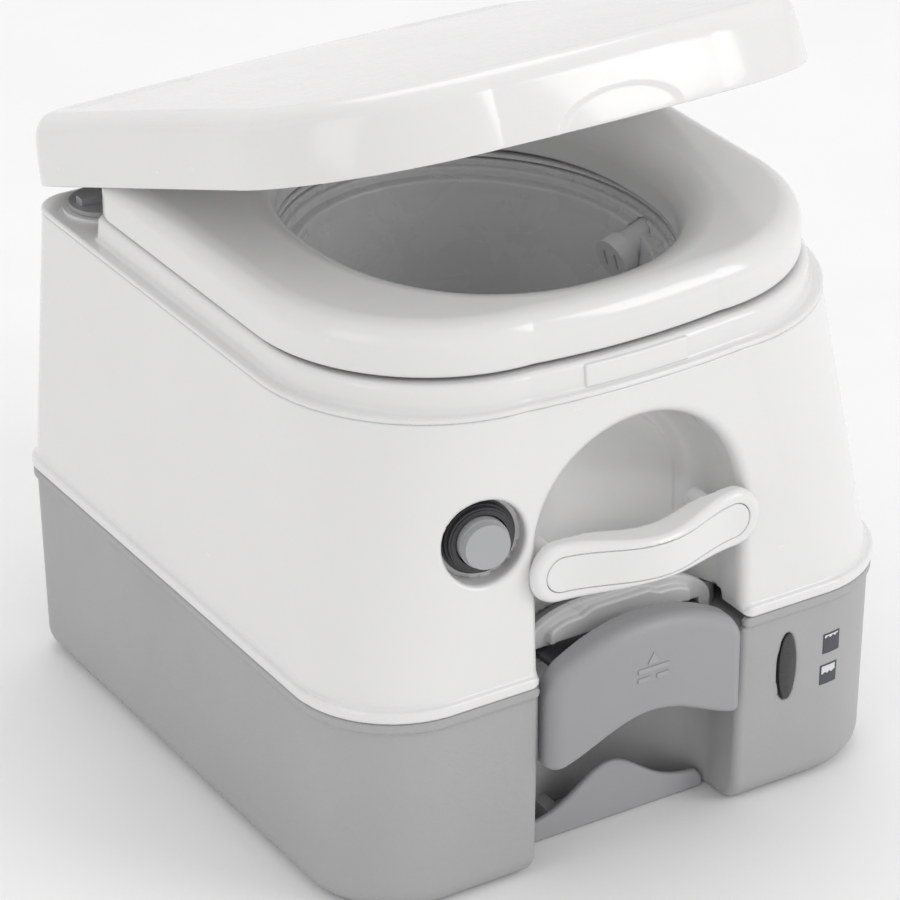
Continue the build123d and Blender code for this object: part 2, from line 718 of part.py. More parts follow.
# ---------------------------------------------------------------- lid
L_OUT = (153.0, -154.0, 181.0, 92.0, 30.0)
LID_Z0 = 263.9
LID_Z1 = 301.9
LT = 2.5

with BuildSketch(Plane.XZ.offset(140)) as dish_sketch:
    with Locations((2, LID_Z0)):
        Ellipse(35, 15)
dish = Solid.extrude(dish_sketch.sketch.face(), Vector(0, -30, 0))
dish = dish - block(LID_Z0 - 20, grow(L_OUT, -1.3), LID_Z1 + 5, grow(L_OUT, -2.6), 4.0, 4.0)

with BuildPart() as lid:
    add(block(LID_Z0, L_OUT, LID_Z1 - 10, grow(L_OUT, -1.5), 4.0, 4.0))
    add(block(LID_Z1 - 10, grow(L_OUT, -1.5), LID_Z1 - 3, grow(L_OUT, -4.5), 4.0, 4.0))
    add(block(LID_Z1 - 3, grow(L_OUT, -4.5), LID_Z1, grow(L_OUT, -11), 4.0, 4.0))
    add(block(LID_Z0 - 1, grow(L_OUT, -LT), LID_Z1 - 10, grow(L_OUT, -1.5 - LT), 4.0, 4.0),
        mode=Mode.SUBTRACT)
    add(block(LID_Z1 - 10, grow(L_OUT, -1.5 - LT), LID_Z1 - LT, grow(L_OUT, -7.5), 4.0, 4.0),
        mode=Mode.SUBTRACT)
    # finger dish in the front edge
    add(dish, mode=Mode.SUBTRACT)
    # gaps in the rear skirt for the hinge
    for side in (-1, 1):
        with Locations((side * 95.5, 180, HINGE_Z - 1)):
            Box(24, 34, 30, mode=Mode.SUBTRACT)

# lugs that hang from the lid down to the pins
with BuildPart() as lid_lugs:
    for x0 in (107.9, -114.9):
        with BuildSketch(Plane.YZ.offset(x0)):
            with BuildLine():
                Line((HINGE_Y - 6, LID_Z1 - 2), (HINGE_Y - 6, HINGE_Z))
                ThreePointArc((HINGE_Y - 6, HINGE_Z), (HINGE_Y, HINGE_Z - 6), (HINGE_Y + 6, HINGE_Z))
                Line((HINGE_Y + 6, HINGE_Z), (HINGE_Y + 6, LID_Z1 - 8))
                Line((HINGE_Y + 6, LID_Z1 - 8), (HINGE_Y - 6, LID_Z1 - 2))
            make_face()
        extrude(amount=7)
    with Locations(*[Plane((s * 106, HINGE_Y, HINGE_Z), z_dir=(s, 0, 0)) for s in (-1, 1)]):
        Cylinder(2.55, 10, align=(Align.CENTER, Align.CENTER, Align.MIN), mode=Mode.SUBTRACT)
    add(lid.part, mode=Mode.SUBTRACT)

with BuildPart() as lid_pads:
    with Locations((-100, -90, LID_Z1 - LT), (100, -90, LID_Z1 - LT)):
        Cylinder(5, 1.4, align=(Align.CENTER, Align.CENTER, Align.MAX))

AXIS = Axis((0, HINGE_Y, HINGE_Z), (1, 0, 0))
save(lid.part.rotate(AXIS, -LID_REST), "lid")
save(lid_lugs.part.rotate(AXIS, -LID_REST), "lid_lugs")
save(lid_pads.part.rotate(AXIS, -LID_REST), "lid_pads")
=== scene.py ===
import json
import math

import bpy
import numpy as np
from mathutils import Matrix, Vector


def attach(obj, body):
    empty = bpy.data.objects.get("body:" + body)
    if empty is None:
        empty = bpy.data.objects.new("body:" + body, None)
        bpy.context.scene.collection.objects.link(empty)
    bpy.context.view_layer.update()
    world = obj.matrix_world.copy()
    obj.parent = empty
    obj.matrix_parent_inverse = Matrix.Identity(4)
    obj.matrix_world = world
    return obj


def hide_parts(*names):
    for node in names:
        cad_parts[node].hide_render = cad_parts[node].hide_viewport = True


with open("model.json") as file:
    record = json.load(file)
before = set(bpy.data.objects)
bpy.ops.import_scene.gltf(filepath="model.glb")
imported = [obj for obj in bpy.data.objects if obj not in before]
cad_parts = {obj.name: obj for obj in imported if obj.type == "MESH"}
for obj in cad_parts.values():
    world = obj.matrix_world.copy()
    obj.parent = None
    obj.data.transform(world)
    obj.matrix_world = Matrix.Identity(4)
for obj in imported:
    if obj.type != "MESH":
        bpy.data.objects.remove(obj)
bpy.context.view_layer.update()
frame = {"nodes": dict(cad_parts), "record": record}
NODES = frame["nodes"]

# Sizes below are in millimetres, as in the CAD model; meshes are made in metres.
HINGE = (0.0, 172.0, 276.0)
LID_REST = math.radians(20.7)
TANK_H = 110.0
STEP_Z = 254.4
COLLAR_Z = 270.5
RECESS_X = 59.0
ARCH_Z = 177.0
BORE_Y = -4.0
HANDLE_Z = 170.0
PUMP_AT = (-87.0, -163.62, 193.0)
PUMP_TURN = math.radians(10.0)
FINE = 1.0    # grid step multiplier


# ------------------------------------------------------------------ solid shapes
def rmax(a, b, r):
    """Intersection with the edge rounded to radius r."""
    u = np.maximum(a + r, 0.0)
    v = np.maximum(b + r, 0.0)
    return np.minimum(np.maximum(a, b), -r) + np.sqrt(u * u + v * v)


def rmin(a, b, r):
    """Union with the inside corner filled to radius r."""
    return -rmax(-a, -b, r)


def rounded(x, y, size, bow=0.0):
    """Distance to a rounded outline: half width, front, rear, front radius, rear radius."""
    hw, yf, yr, rf, rr = size
    yf = yf - bow * np.clip(1.0 - (x / (hw - rf)) ** 2, 0.0, 1.0)
    yc = (yf + yr) / 2
    hy = (yr - yf) / 2
    r = np.where(y < yc, rf, rr)
    qx = np.abs(x) - hw + r
    qy = np.abs(y - yc) - hy + r
    out = np.sqrt(np.maximum(qx, 0) ** 2 + np.maximum(qy, 0) ** 2)
    return np.minimum(np.maximum(qx, qy), 0.0) + out - r


def grow(size, d):
    hw, yf, yr, rf, rr = size
    return hw + d, yf - d, yr + d, rf + d, rr + d


def mix(a, b, k):
    """Outline part way from a to b."""
    return tuple(p + (q - p) * k for p, q in zip(a, b))


def slab(v, lo, hi):
    """Distance to the space between two parallel planes."""
    return np.maximum(lo - v, v - hi)


def egg(x, y, a, b, y0, n=2.0):
    """Approximate distance to a superellipse."""
    u = np.abs(x / a) ** n + np.abs((y - y0) / b) ** n
    rho = np.maximum(u, 1e-6) ** (1.0 / n)
    return (rho - 1.0) * np.minimum(a, b)


def tube(x, y, z, base, axis, radius, lo, hi, edge=0.0):
    """Cylinder from lo to hi along axis."""
    ax = Vector(axis).normalized()
    dx, dy, dz = x - base[0], y - base[1], z - base[2]
    along = dx * ax[0] + dy * ax[1] + dz * ax[2]
    rad = np.sqrt(np.maximum(dx * dx + dy * dy + dz * dz - along * along, 0.0))
    return rmax(rad - radius, slab(along, lo, hi), edge)


def nets(f, lo, hi, step):
    """Mesh of the surface where f is 0: surface nets, then each point moved onto the surface."""
    lo = np.array(lo, float) - 1.5 * step
    hi = np.array(hi, float) + 1.5 * step
    n = np.ceil((hi - lo) / step).astype(int) + 1
    ax = [lo[i] + step * np.arange(n[i]) for i in range(3)]
    value = f(ax[0][:, None, None], ax[1][None, :, None], ax[2][None, None, :])
    value = np.ascontiguousarray(np.broadcast_to(value, tuple(n))).astype(np.float32)
    cells = tuple(n - 1)
    count = np.zeros(cells, np.float32)
    place = [np.zeros(cells, np.float32) for _ in range(3)]
    crossings = []
    for a in range(3):
        u, v = (a + 1) % 3, (a + 2) % 3
        first = [slice(None)] * 3
        second = [slice(None)] * 3
        first[a], second[a] = slice(0, -1), slice(1, None)
        low, high = value[tuple(first)], value[tuple(second)]
        cross = (low < 0) != (high < 0)
        gap = np.where(cross, low - high, 1.0)
        t = np.where(cross, low / gap, 0.0)
        crossings.append((cross, low < 0))
        for du in (0, 1):
            for dv in (0, 1):
                part = [slice(None)] * 3
                part[u] = slice(du, n[u] - 1 + du)
                part[v] = slice(dv, n[v] - 1 + dv)
                c = cross[tuple(part)]
                count += c
                place[a] += t[tuple(part)]
                place[u] += c * du
                place[v] += c * dv
    used = count > 0
    index = np.full(cells, -1, np.int64)
    index[used] = np.arange(int(used.sum()))
    ijk = np.argwhere(used)
    off = np.stack([p[used] / count[used] for p in place], 1)
    points = lo + (ijk + off) * step
    faces = []
    for a in range(3):
        u, v = (a + 1) % 3, (a + 2) % 3
        cross, inside = crossings[a]
        at = np.argwhere(cross)
        ok = (at[:, u] > 0) & (at[:, v] > 0) & (at[:, u] < n[u] - 1) & (at[:, v] < n[v] - 1)
        at = at[ok]
        turn = inside[at[:, 0], at[:, 1], at[:, 2]]
        corner = []
        for du, dv in ((-1, -1), (0, -1), (0, 0), (-1, 0)):
            c = at.copy()
            c[:, u] += du
            c[:, v] += dv
            corner.append(index[c[:, 0], c[:, 1], c[:, 2]])
        quad = np.stack(corner, 1)
        quad[~turn] = quad[~turn][:, ::-1]
        faces.append(quad)
    faces = np.concatenate(faces)

    def slope(p):
        e = 0.05
        x, y, z = p[:, 0], p[:, 1], p[:, 2]
        g = np.stack([
            f(x + e, y, z) - f(x - e, y, z),
            f(x, y + e, z) - f(x, y - e, z),
            f(x, y, z + e) - f(x, y, z - e),
        ], 1) / (2 * e)
        return g

    for _ in range(3):
        g = slope(points)
        d = f(points[:, 0], points[:, 1], points[:, 2])
        size = np.maximum((g * g).sum(1), 0.05)
        move = -(d / size)[:, None] * g
        length = np.sqrt((move * move).sum(1))
        move *= np.minimum(1.0, 0.5 * step / np.maximum(length, 1e-9))[:, None]
        points = points + move
    g = slope(points)
    normal = g / np.maximum(np.sqrt((g * g).sum(1)), 1e-9)[:, None]
    return points, faces, normal


def solid(name, node, f, lo, hi, step, body, material, turn=None, also=()):
    """Piece made from a shape function, standing for a CAD node."""
    points, faces, normal = nets(f, lo, hi, step * FINE)
    if turn is not None:
        r = np.array(turn.to_3x3())
        c = np.array(HINGE)
        points = (points - c) @ r.T + c
        normal = normal @ r.T
    mesh = bpy.data.meshes.new(name)
    mesh.vertices.add(len(points))
    mesh.vertices.foreach_set("co", (points / 1000.0).astype(np.float32).ravel())
    mesh.loops.add(len(faces) * 4)
    mesh.loops.foreach_set("vertex_index", faces.astype(np.int32).ravel())
    mesh.polygons.add(len(faces))
    mesh.polygons.foreach_set("loop_start", np.arange(0, len(faces) * 4, 4, dtype=np.int32))
    mesh.polygons.foreach_set("loop_total", np.full(len(faces), 4, np.int32))
    mesh.update(calc_edges=True)
    mesh.validate()
    mesh.shade_smooth()
    if len(mesh.vertices) == len(normal):
        mesh.normals_split_custom_set_from_vertices([tuple(v) for v in normal])
    obj = bpy.data.objects.new(name, mesh)
    bpy.context.scene.collection.objects.link(obj)
    mesh.materials.append(material)
    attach(obj, body)
    if node:
        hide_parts(node, *also)
    return obj


# ------------------------------------------------------------------ materials
def plastic(name, colour, rough, grain=0.0, grain_scale=900.0, coat=0.0, tint=0.03, wear=0.5, sss=0.0):
    """Moulded plastic: tone drift, smudged roughness, moulding ripple, fine grain and light scuffs."""
    mat = bpy.data.materials.new(name)
    mat.use_nodes = True
    nt = mat.node_tree
    nodes, links = nt.nodes, nt.links
    nodes.clear()
    out = nodes.new("ShaderNodeOutputMaterial")
    bsdf = nodes.new("ShaderNodeBsdfPrincipled")
    links.new(bsdf.outputs[0], out.inputs[0])
    coord = nodes.new("ShaderNodeTexCoord")

    def noise(scale, detail=4.0, rough_=0.55, dist=0.0):
        n = nodes.new("ShaderNodeTexNoise")
        n.inputs["Scale"].default_value = scale
        n.inputs["Detail"].default_value = detail
        n.inputs["Roughness"].default_value = rough_
        n.inputs["Distortion"].default_value = dist
        links.new(coord.outputs["Object"], n.inputs["Vector"])
        return n

    def ramp(src, lo, hi, a, b):
        r = nodes.new("ShaderNodeMapRange")
        r.inputs["From Min"].default_value = lo
        r.inputs["From Max"].default_value = hi
        r.inputs["To Min"].default_value = a
        r.inputs["To Max"].default_value = b
        links.new(src, r.inputs["Value"])
        return r.outputs[0]

    drift = noise(9.0, 3.0)
    dust = noise(160.0, 6.0, 0.65)
    smudge = noise(26.0, 5.0, 0.6, 0.6)
    dark = tuple(c * (1.0 - tint) for c in colour)
    light = tuple(min(1.0, c * (1.0 + tint * 0.6)) for c in colour)
    tone = nodes.new("ShaderNodeMix")
    tone.data_type = "RGBA"
    tone.inputs["A"].default_value = (*dark, 1)
    tone.inputs["B"].default_value = (*light, 1)
    links.new(ramp(drift.outputs["Fac"], 0.35, 0.65, 0.0, 1.0), tone.inputs["Factor"])
    speck = nodes.new("ShaderNodeMix")
    speck.data_type = "RGBA"
    speck.blend_type = "MULTIPLY"
    links.new(tone.outputs["Result"], speck.inputs["A"])
    speck.inputs["B"].default_value = (0.90, 0.89, 0.87, 1)
    links.new(ramp(dust.outputs["Fac"], 0.62, 0.80, 0.0, 0.35 * wear), speck.inputs["Factor"])
    links.new(speck.outputs["Result"], bsdf.inputs["Base Color"])

    scuff = nodes.new("ShaderNodeTexNoise")
    scuff.inputs["Scale"].default_value = 60.0
    scuff.inputs["Detail"].default_value = 6.0
    stretch = nodes.new("ShaderNodeMapping")
    stretch.inputs["Scale"].default_value = (1.0, 1.0, 9.0)
    stretch.inputs["Rotation"].default_value = (0.4, 0.7, 0.2)
    links.new(coord.outputs["Object"], stretch.inputs["Vector"])
    links.new(stretch.outputs[0], scuff.inputs["Vector"])
    add = nodes.new("ShaderNodeMath")
    add.operation = "ADD"
    links.new(ramp(smudge.outputs["Fac"], 0.3, 0.7, rough - 0.05, rough + 0.06), add.inputs[0])
    links.new(ramp(scuff.outputs["Fac"], 0.62, 0.78, 0.0, 0.12 * wear), add.inputs[1])
    links.new(add.outputs[0], bsdf.inputs["Roughness"])

    ripple = nodes.new("ShaderNodeBump")
    ripple.inputs["Strength"].default_value = 0.10
    ripple.inputs["Distance"].default_value = 0.0006
    links.new(noise(34.0, 2.0, 0.4).outputs["Fac"], ripple.inputs["Height"])
    fine = nodes.new("ShaderNodeBump")
    fine.inputs["Strength"].default_value = 0.12 + grain
    fine.inputs["Distance"].default_value = 0.00012 + 0.0003 * grain
    links.new(noise(grain_scale, 3.0, 0.5).outputs["Fac"], fine.inputs["Height"])
    links.new(ripple.outputs[0], fine.inputs["Normal"])
    links.new(fine.outputs[0], bsdf.inputs["Normal"])
    bsdf.inputs["IOR"].default_value = 1.5
    bsdf.inputs["Coat Weight"].default_value = coat
    bsdf.inputs["Coat Roughness"].default_value = 0.08
    bsdf.inputs["Subsurface Weight"].default_value = sss
    bsdf.inputs["Subsurface Scale"].default_value = 0.004
    return mat


def metal(name, colour, rough):
    mat = plastic(name, colour, rough, grain=0.2, grain_scale=1600.0, tint=0.08, wear=1.0)
    mat.node_tree.nodes["Principled BSDF"].inputs["Metallic"].default_value = 1.0
    return mat


def smoked(name):
    mat = plastic(name, (0.05, 0.052, 0.058), 0.10, tint=0.1, wear=0.5, coat=0.6)
    b = mat.node_tree.nodes["Principled BSDF"]
    b.inputs["Transmission Weight"].default_value = 0.75
    return mat


M = {
    "white_gloss": plastic("white_gloss", (0.78, 0.78, 0.775), 0.20, coat=0.35, tint=0.012, sss=0.05),
    "bowl_white": plastic("bowl_white", (0.70, 0.705, 0.705), 0.27, coat=0.2, tint=0.015, sss=0.05),
    "tank_grey": plastic("tank_grey", (0.40, 0.40, 0.405), 0.46, grain=0.45, grain_scale=1400.0, tint=0.03),
    "handle_grey": plastic("handle_grey", (0.33, 0.333, 0.345), 0.40,
                           grain=0.3, grain_scale=1500.0, tint=0.03),
    "plate_grey": plastic("plate_grey", (0.36, 0.363, 0.372), 0.42, grain=0.3, grain_scale=1500.0, tint=0.03),
    "knob_grey": plastic("knob_grey", (0.40, 0.405, 0.415), 0.36, grain=0.2, grain_scale=1500.0, tint=0.03),
    "dark_print": plastic("dark_print", (0.06, 0.065, 0.08), 0.38, tint=0.08),
    "dark_plastic": plastic("dark_plastic", (0.045, 0.046, 0.05), 0.34, tint=0.1, grain=0.2),
    "clear_lens": smoked("clear_lens"),
    "bead_red": plastic("bead_red", (0.30, 0.30, 0.30), 0.25, tint=0.05),
    "black_rubber": plastic("black_rubber", (0.028, 0.028, 0.028), 0.62, grain=0.6, tint=0.1),
    "blade_black": plastic("blade_black", (0.05, 0.05, 0.055), 0.36, tint=0.1),
    "steel": metal("steel", (0.60, 0.60, 0.60), 0.28),
}

# ------------------------------------------------------------------ fresh water tank
U_LOW = (162.2, -168.2, 169.6, 56.0, 17.0)
U_TOP = (153.4, -158.8, 168.0, 92.0, 17.0)
FLANGE = (165.0, -171.0, 171.0, 55.5, 18.0)
PUMP_DIR = (-math.sin(PUMP_TURN) * 0.998, -math.cos(PUMP_TURN) * 0.998, 0.06)


def upper_wall(x, y, z):
    k = np.clip((z - 116.5) / (STEP_Z - 116.5), 0.0, 1.0)
    return rounded(x, y, mix(U_LOW, U_TOP, k), 0.3 + 3.7 * k)


def recess_back(x):
    return -116.0 - 20.0 * (x / RECESS_X) ** 2


def arch(x, y, z, d=0.0, back_r=12.0):
    ring = np.sqrt(x * x + np.maximum(z - ARCH_Z, 0.0) ** 2) - RECESS_X - d
    return rmax(ring, y - recess_back(x) - d, back_r)


BOWL = np.array([
    (120.0, 45.0, 45.0, BORE_Y), (130.0, 45.0, 45.0, BORE_Y), (156.0, 58.0, 60.0, -7.0),
    (196.0, 74.0, 80.0, -10.0), (232.0, 82.5, 88.0, -12.0), (252.0, 86.0, 93.5, -13.5),
    (272.0, 88.0, 97.0, -15.0),
])


def bowl(x, y, z, d=0.0):
    """Inside of the bowl, moved out by d: a deep part and a wider ring above a ledge."""
    a = np.interp(z, BOWL[:, 0], BOWL[:, 1]) + d
    b = np.interp(z, BOWL[:, 0], BOWL[:, 2]) + d
    y0 = np.interp(z, BOWL[:, 0], BOWL[:, 3])
    deep = egg(x, y, a, b, y0)
    ring = np.maximum(egg(x, y, 92.5 + d, 103.0 + d, -16.0), 260.0 - d - z)
    rim = np.maximum(egg(x, y, 96.0 + d, 107.0 + d, -16.0), 264.5 - d - z)
    return rmin(rmin(deep, ring, 1.2), rim, 1.2)


def fresh_tank(x, y, z):
    wall = upper_wall(x, y, z)
    body = rmax(wall, slab(z, 112.0, STEP_Z), 1.0)
    flange = rmax(rounded(x, y, FLANGE), slab(z, TANK_H + 0.4, 116.5), 1.6)
    out = rmin(body, flange, 1.6)
    out = rmax(out, -arch(x, y, z), 6.0)
    # raised panel on the back wall of the recess
    panel = np.sqrt(x * x + np.maximum(z - ARCH_Z, 0.0) ** 2) - 44.0
    panel = rmax(panel, slab(y, recess_back(x) - 0.9, recess_back(x) + 6.0), 0.8)
    out = rmin(out, np.maximum(panel, 113.0 - z), 2.0)
    out = np.maximum(out, -(bowl(x, y, z, 4.0)))
    under = np.maximum(rounded(x, y, (145.0, -150.0, 150.0, 44.0, 14.0)), z - 118.4)
    out = np.maximum(out, -under)
    out = rmax(out, -tube(x, y, z, PUMP_AT, PUMP_DIR, 21.5, -12.0, 40.0), 2.6)
    return np.maximum(out, -tube(x, y, z, PUMP_AT, PUMP_DIR, 17.0, -40.0, 0.0))


solid("fresh_tank_v", "fresh_tank", fresh_tank, (-165, -171, 110.4), (165, 171, STEP_Z), 1.7,
      "flush_unit", M["white_gloss"])

# ------------------------------------------------------------------ deck with bowl
D_LIP = (153.7, -159.2, 168.0, 92.5, 17.0)
D_COL = (147.4, -155.0, 112.0, 90.2, 8.0)
NOZ_AT = (79.0, -30.5, 250.0)
NOZ_DIR = (-0.955, -0.12, -0.27)


def deck(x, y, z):
    lip = rmax(rounded(x, y, D_LIP, 4.0), slab(z, STEP_Z, STEP_Z + 3.0), 1.2)
    draft = grow(D_COL, -1.2 * np.clip((z - STEP_Z - 3.0) / 13.0, 0.0, 1.0))
    collar = rmax(rounded(x, y, draft, 4.0), slab(z, STEP_Z + 1.0, COLLAR_Z), 3.0)
    out = rmin(lip, collar, 2.0)
    under = np.maximum(rounded(x, y, grow(D_COL, -4.5), 4.0), slab(z, STEP_Z - 5.0, COLLAR_Z - 3.0))
    out = np.maximum(out, -under)
    out = rmax(out, -bowl(x, y, z), 3.0)
    return np.maximum(out, -tube(x, y, z, (-126.0, 141.0, 240.0), (0, 0, 1), 15.1, -10.0, 30.0))


def bowl_shell(x, y, z):
    out = np.maximum(bowl(x, y, z, 3.0), slab(z, 120.8, COLLAR_Z - 3.2))
    out = rmax(out, -bowl(x, y, z), 0.6)
    out = np.maximum(out, -tube(x, y, z, NOZ_AT, NOZ_DIR, 9.2, -24.0, 30.0))
    return np.maximum(out, -tube(x, y, z, NOZ_AT, NOZ_DIR, 11.3, -0.1, 30.0))


solid("deck_v", "deck", deck, (-154, -164, STEP_Z), (154, 168, COLLAR_Z), 1.2,
      "flush_unit", M["white_gloss"])
solid("bowl_v", "bowl", bowl_shell, (-98, -126, 120.8), (98, 95, COLLAR_Z - 3), 1.4,
      "flush_unit", M["bowl_white"])

# ------------------------------------------------------------------ waste tank
T_BOT = (161.0, -167.0, 167.0, 51.0, 16.0)
T_TOP = (162.6, -168.6, 168.6, 53.0, 16.0)
T_RIM = (164.4, -170.4, 170.4, 55.0, 17.4)


def front_nook(x, y, d=0.0):
    return rmax(np.abs(x) - RECESS_X - d, y - recess_back(x) - d, 10.0)


def waste_tank(x, y, z):
    k = np.clip((z - 7.0) / 97.5, 0.0, 1.0)
    wall = rounded(x, y, mix(T_BOT, T_TOP, k))
    body = rmax(wall, -z, 13.0)
    body = np.maximum(body, z - 105.0)
    rim = rmax(rounded(x, y, T_RIM), slab(z, 104.5, TANK_H), 1.2)
    rim = np.maximum(rim, -np.maximum(rounded(x, y, grow(T_RIM, -5.0)), 105.0 - z))
    out = rmin(body, rim, 1.0)
    out = rmax(out, -front_nook(x, y), 4.0)
    room = np.maximum(np.maximum(wall + 8.0, 6.0 - z), z - 100.0)
    room = np.maximum(room, -front_nook(x, y, 8.0))
    out = np.maximum(out, -room)
    out = np.maximum(out, -tube(x, y, z, (0, BORE_Y, 90), (0, 0, 1), 44.0, 0.0, 40.0))
    out = np.maximum(out, -tube(x, y, z, (-84, 150, 58), (0, 1, 0), 22.0, 0.0, 40.0))
    window = egg(x - 88.0, z, 5.6, 19.4, 74.0)
    return rmax(out, -np.maximum(window, y + 150.0), 0.6)


solid("waste_tank_v", "waste_tank", waste_tank, (-164.4, -170.4, 0), (164.4, 170.4, TANK_H), 1.7,
      "waste_unit", M["tank_grey"])

# ------------------------------------------------------------------ seat
S_OUT = (147.5, -150.0, 118.0, 95.0, 26.0)
SEAT_Z0, SEAT_Z1 = 272.6, 298.0
SEAT_ROOF = 291.0


def seat(x, y, z):
    outer = rounded(x, y, S_OUT, 4.0)
    hole = egg(x, y, 93.0, 105.0, -16.0, 2.2)
    ring = rmax(outer, z - SEAT_Z1 + 0.012 * np.maximum(-outer, 0.0), 13.0)
    bevel = (-hole + (z - SEAT_Z1) * 1.1 + 9.5) * 0.673
    ring = rmax(ring, bevel, 5.0)
    ring = rmax(ring, -hole, 3.5)
    ring = rmax(ring, SEAT_Z0 - z, 1.6)
    room = rmax(rmax(outer + 3.2, -hole + 3.2, 4.0), z - SEAT_ROOF, 6.0)
    ring = np.maximum(ring, -room)
    # arms back to the hinge
    dy, dz = y - HINGE[1], z - HINGE[2]
    boss = np.sqrt(dy * dy + dz * dz) - 5.9
    rise = np.clip(-dy / 56.0, 0.0, 1.0)
    arm = np.maximum(np.maximum(dy, -dy - 72.0), np.maximum(dz - 6.0 - 8.0 * rise, -dz - 5.6 + 4.6 * rise))
    arm = rmax(np.minimum(boss, arm), np.abs(np.abs(x) - 90.5) - 4.0, 1.0)
    out = rmin(ring, arm, 2.0)
    pin = np.sqrt(dy * dy + dz * dz) - 2.55
    return np.maximum(out, -np.maximum(pin, np.abs(np.abs(x) - 90.5) - 7.0))


solid("seat_ring_v", "seat_ring", seat, (-147.5, -154, SEAT_Z0), (147.5, 178, SEAT_Z1), 1.3,
      "seat", M["white_gloss"])

# ------------------------------------------------------------------ lid, made flat and turned up
L_OUT = (153.0, -154.0, 181.0, 92.0, 30.0)
LID_Z0, LID_Z1 = 263.9, 301.9


def lid(x, y, z):
    k = np.clip((z - LID_Z0) / 30.0, 0.0, 1.0)
    outer = rounded(x, y, mix(L_OUT, grow(L_OUT, -3.0), k * k), 4.0)
    # finger dish in the front edge: sharp along its top, running out towards the bottom
    q = np.sqrt(((x - 2.0) / 36.0) ** 2 + ((z - LID_Z0) / 17.0) ** 2)
    deep = 1.0 - np.clip((q - 0.82) / 0.18, 0.0, 1.0)
    deep = deep * deep * (3.0 - 2.0 * deep) * (0.35 + 0.65 * np.clip(q, 0.0, 1.0) ** 2)
    outer = outer + np.where(y < -100.0, 1.3 * deep, 0.0)
    crown = LID_Z1 - 1.6 * (x / 150.0) ** 2 - 1.2 * ((y - 20.0) / 170.0) ** 2
    # long shallow dimples near the rear edge
    for sx in (-1, 1):
        q = np.sqrt((np.maximum(np.abs(x - sx * 96.0) - 26.0, 0)) ** 2 + (y - 150.0) ** 2)
        crown = crown - 1.6 * np.clip(1.0 - (q / 12.0) ** 2, 0.0, 1.0) ** 2
    out = rmax(outer, z - crown, 10.0)
    out = rmax(out, LID_Z0 - z, 1.1)
    room = rmax(outer + 2.6, z - crown + 2.6, 8.0)
    out = np.maximum(out, -room)
    # gaps for the hinge
    gap = np.maximum(np.abs(np.abs(x) - 95.5) - 12.0, np.maximum(164.0 - y, z - 290.0))
    out = np.maximum(out, -gap)
    return out


OPEN = Matrix.Rotation(-LID_REST, 4, "X")
solid("lid_v", "lid", lid, (-153, -158, LID_Z0), (153, 181, LID_Z1), 1.0,
      "lid", M["white_gloss"], turn=OPEN)


# ------------------------------------------------------------------ pull handle of the valve
def paddle(x, y, z):
    swell = np.clip(1.0 - (x / 56.5) ** 2, 0.0, 1.0)
    low = (62.0 + 18.5 * (0.5 + 0.5 * np.cos(np.pi * np.clip(x / 56.5, -1, 1))) ** 0.8 - z) * 0.93
    top = (z - 112.0 - 19.5 * swell) * 0.93
    side = np.abs(x) - 56.5
    front = -176.0 - 2.0 * swell - y
    crown = rmax(side, top, 9.0)
    face = rmax(crown, low, 3.5)
    out = rmax(rmax(crown, front, 7.5), low, 3.0)
    out = np.maximum(out, y + 162.0)
    out = np.maximum(out, -np.maximum(face + 4.4, front + 4.6))
    web = np.maximum(np.maximum(np.abs(x) - 45.0, np.abs(z - 112.3) - 2.9), slab(y, -175.0, -162.0))
    out = np.minimum(out, web)
    slot = np.maximum(np.maximum(np.abs(x) - 47.0, np.abs(z - 112.3) - 1.3), slab(y, -163.0, -150.0))
    return np.maximum(out, -slot)


solid("valve_handle_v", "valve_handle", paddle, (-56.5, -178, 62), (56.5, -162, 132), 0.9,
      "slide_valve", M["handle_grey"])


# ------------------------------------------------------------------ carrying handle
def bar_front(x):
    """Front of the handle in plan: flat ears and a middle that swells forward."""
    return -172.5 - 13.5 * (0.5 + 0.5 * np.cos(np.pi * np.clip(np.abs(x) / 54.0, 0.0, 1.0)))


def pill(x, z, reach, mid, end):
    """Bar with round ends, mid high at its waist and end high at its ends (half heights)."""
    t = 0.5 - 0.5 * np.cos(np.pi * np.clip(np.abs(x) / reach, 0.0, 1.0))
    return np.sqrt(np.maximum(np.abs(x) - reach, 0.0) ** 2 + (z - HANDLE_Z) ** 2) - mid - (end - mid) * t


def bar(x, y, z):
    front = (bar_front(x) - y) * 0.95
    back = (y - bar_front(x) - 19.0 + 7.0 * (x / 52.0) ** 2) * 0.95
    out = rmax(pill(x, z, 50.5, 12.2, 15.5), front, 4.0)
    out = rmax(out, back, 5.0)
    out = np.maximum(out, -upper_wall(x, y, z))
    # seat for the cover strip, with a thin groove round it
    out = rmax(out, -np.maximum(pill(x, z, 49.3, 8.6, 9.2) - 0.35, -front - 2.2), 0.5)
    heads = np.sqrt((np.abs(x) - 46.0) ** 2 + (z - HANDLE_Z) ** 2) - 4.4
    return np.maximum(out, -np.maximum(heads, slab(y, -190.0, -169.0)))


solid("carry_handle_v", "carry_handle", bar, (-66, -186, 154.5), (66, -159, 185.5), 0.8,
      "flush_unit", M["white_gloss"])


def cover(x, y, z):
    front = (bar_front(x) - y) * 0.95
    return rmax(rmax(pill(x, z, 49.3, 8.6, 9.2), front, 0.6), -front - 2.0, 0.3)


solid("handle_cover_v", "handle_cover", cover, (-58.5, -186, 160.8), (58.5, -170.5, 179.2), 0.7,
      "flush_unit", M["white_gloss"])


